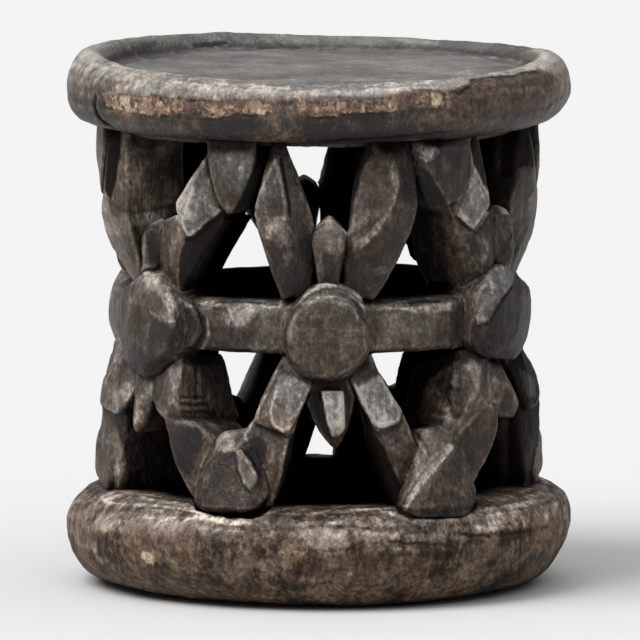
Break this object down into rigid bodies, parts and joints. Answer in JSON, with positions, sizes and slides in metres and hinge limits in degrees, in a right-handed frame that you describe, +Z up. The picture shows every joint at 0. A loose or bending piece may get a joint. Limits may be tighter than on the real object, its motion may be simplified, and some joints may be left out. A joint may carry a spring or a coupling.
{
  "type": "low carved stool",
  "caption": "Low round carved wooden stool: a dished seat and a thick foot disc joined by an openwork drum of stylised spiders standing on a hoop.",
  "frame": {"origin": "centre of the flat underside of the foot disc, where the stool rests on the floor", "axes": "+Z up through the drum to the seat; the front spider of the picture faces -Y; +X to its right"},
  "size_m": [0.383, 0.383, 0.4065],
  "materials": {
    "seat_wood": "dark aged hardwood, dusty grey dish, reddish-brown wear band with pale chips round the front of the rim, low sheen",
    "carved_wood": "near-black aged hardwood, adze facets with lighter grey worn edges, soft sheen",
    "base_wood": "mottled brown aged hardwood, dusty top edge, darker and rougher towards the floor"
  },
  "bodies": {
    "root": {"seat": "seat_wood", "base": "base_wood", "spider_front_body": "carved_wood", "spider_right_body": "carved_wood", "spider_right_rear_body": "carved_wood", "spider_rear_body": "carved_wood", "spider_left_rear_body": "carved_wood", "spider_left_body": "carved_wood", "hoop_front_to_right": "carved_wood", "hoop_right_to_right_rear": "carved_wood", "hoop_right_rear_to_rear": "carved_wood", "hoop_rear_to_left_rear": "carved_wood", "hoop_left_rear_to_left": "carved_wood", "hoop_left_to_front": "carved_wood", "pendant_front_to_right": "carved_wood", "knee_block_front_to_right": "carved_wood", "pendant_right_to_right_rear": "carved_wood", "knee_block_right_to_right_rear": "carved_wood", "pendant_right_rear_to_rear": "carved_wood", "knee_block_right_rear_to_rear": "carved_wood", "pendant_rear_to_left_rear": "carved_wood", "knee_block_rear_to_left_rear": "carved_wood", "pendant_left_rear_to_left": "carved_wood", "knee_block_left_rear_to_left": "carved_wood", "pendant_left_to_front": "carved_wood", "knee_block_left_to_front": "carved_wood", "spider_front_head": "carved_wood", "spider_front_upper_leg_left": "carved_wood", "spider_front_upper_leg_right": "carved_wood", "spider_front_lower_leg_left": "carved_wood", "spider_front_lower_leg_right": "carved_wood", "spider_right_head": "carved_wood", "spider_right_upper_leg_left": "carved_wood", "spider_right_upper_leg_right": "carved_wood", "spider_right_lower_leg_left": "carved_wood", "spider_right_lower_leg_right": "carved_wood", "spider_right_rear_head": "carved_wood", "spider_right_rear_upper_leg_left": "carved_wood", "spider_right_rear_upper_leg_right": "carved_wood", "spider_right_rear_lower_leg_left": "carved_wood", "spider_right_rear_lower_leg_right": "carved_wood", "spider_rear_head": "carved_wood", "spider_rear_upper_leg_left": "carved_wood", "spider_rear_upper_leg_right": "carved_wood", "spider_rear_lower_leg_left": "carved_wood", "spider_rear_lower_leg_right": "carved_wood", "spider_left_rear_head": "carved_wood", "spider_left_rear_upper_leg_left": "carved_wood", "spider_left_rear_upper_leg_right": "carved_wood", "spider_left_rear_lower_leg_left": "carved_wood", "spider_left_rear_lower_leg_right": "carved_wood", "spider_left_head": "carved_wood", "spider_left_upper_leg_left": "carved_wood", "spider_left_upper_leg_right": "carved_wood", "spider_left_lower_leg_left": "carved_wood", "spider_left_lower_leg_right": "carved_wood"}
  },
  "joints": []
}
